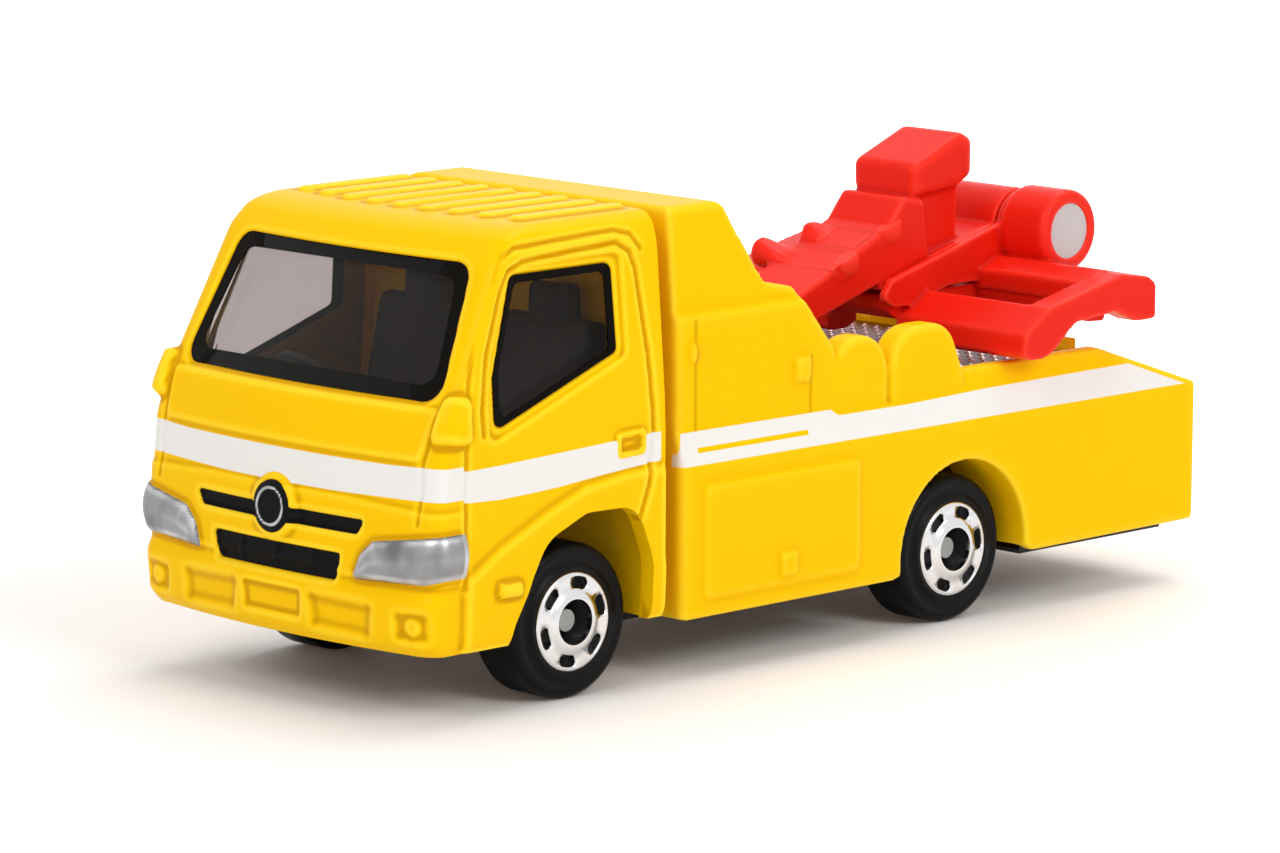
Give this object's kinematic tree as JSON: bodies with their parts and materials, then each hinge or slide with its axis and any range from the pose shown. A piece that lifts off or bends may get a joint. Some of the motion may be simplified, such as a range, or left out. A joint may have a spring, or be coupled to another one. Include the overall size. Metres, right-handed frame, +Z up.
{
  "type": "die-cast toy tow truck",
  "caption": "Pocket-size die-cast toy tow truck with a ribbed cab, rear body with tread-plate deck, raising boom and a folding twin-window wheel lift.",
  "frame": {"origin": "on the ground, midway between the front bumper and the tail and midway across", "axes": "+X to the front bumper, +Y to the vehicle's left, +Z up"},
  "size_m": [0.0752, 0.0306, 0.0319],
  "materials": {
    "yellow_paint": "gloss paint over a zinc casting",
    "yellow_plastic": "gloss moulding",
    "smoke_window": "smoke-tinted clear moulding",
    "black_plastic": "satin black moulding",
    "steel": "bright drawn wire",
    "wheel_black": "hard black moulding",
    "chrome_foil": "hot-stamped bright foil",
    "tread_plate": "bright plated tread pattern",
    "red_plastic": "gloss moulding"
  },
  "bodies": {
    "root": {"cab_shell": "yellow_paint", "window_insert": "smoke_window", "interior": "black_plastic", "steering_wheel": "black_plastic", "rear_body": "yellow_plastic", "deck_plate": "tread_plate", "base_plate": "black_plastic", "rivet_front": "steel", "rivet_rear": "steel"},
    "front_wheelset": {"front_axle": "steel", "front_left_tyre": "wheel_black", "front_left_ring": "chrome_foil", "front_right_tyre": "wheel_black", "front_right_ring": "chrome_foil"},
    "rear_wheelset": {"rear_axle": "steel", "rear_left_tyre": "wheel_black", "rear_left_ring": "chrome_foil", "rear_right_tyre": "wheel_black", "rear_right_ring": "chrome_foil"},
    "boom": {"boom": "red_plastic"},
    "wheel_lift": {"lift_left": "red_plastic", "lift_right": "red_plastic", "lift_pin": "steel"}
  },
  "joints": [
    {"name": "front_wheels_spin", "type": "hinge", "parent": "root", "child": "front_wheelset", "pos_m": [0.02295, 0, 0.0051], "axis": [0, 1, 0], "continuous": true},
    {"name": "rear_wheels_spin", "type": "hinge", "parent": "root", "child": "rear_wheelset", "pos_m": [-0.01325, 0, 0.0051], "axis": [0, 1, 0], "continuous": true},
    {"name": "boom_raise", "type": "hinge", "parent": "root", "child": "boom", "pos_m": [-0.00295, 0, 0.0189], "axis": [0, 1, 0], "range_deg": [0, 50]},
    {"name": "lift_swing", "type": "hinge", "parent": "boom", "child": "wheel_lift", "pos_m": [-0.03045, 0, 0.0249], "axis": [0, -1, 0], "range_deg": [0, 210]}
  ]
}
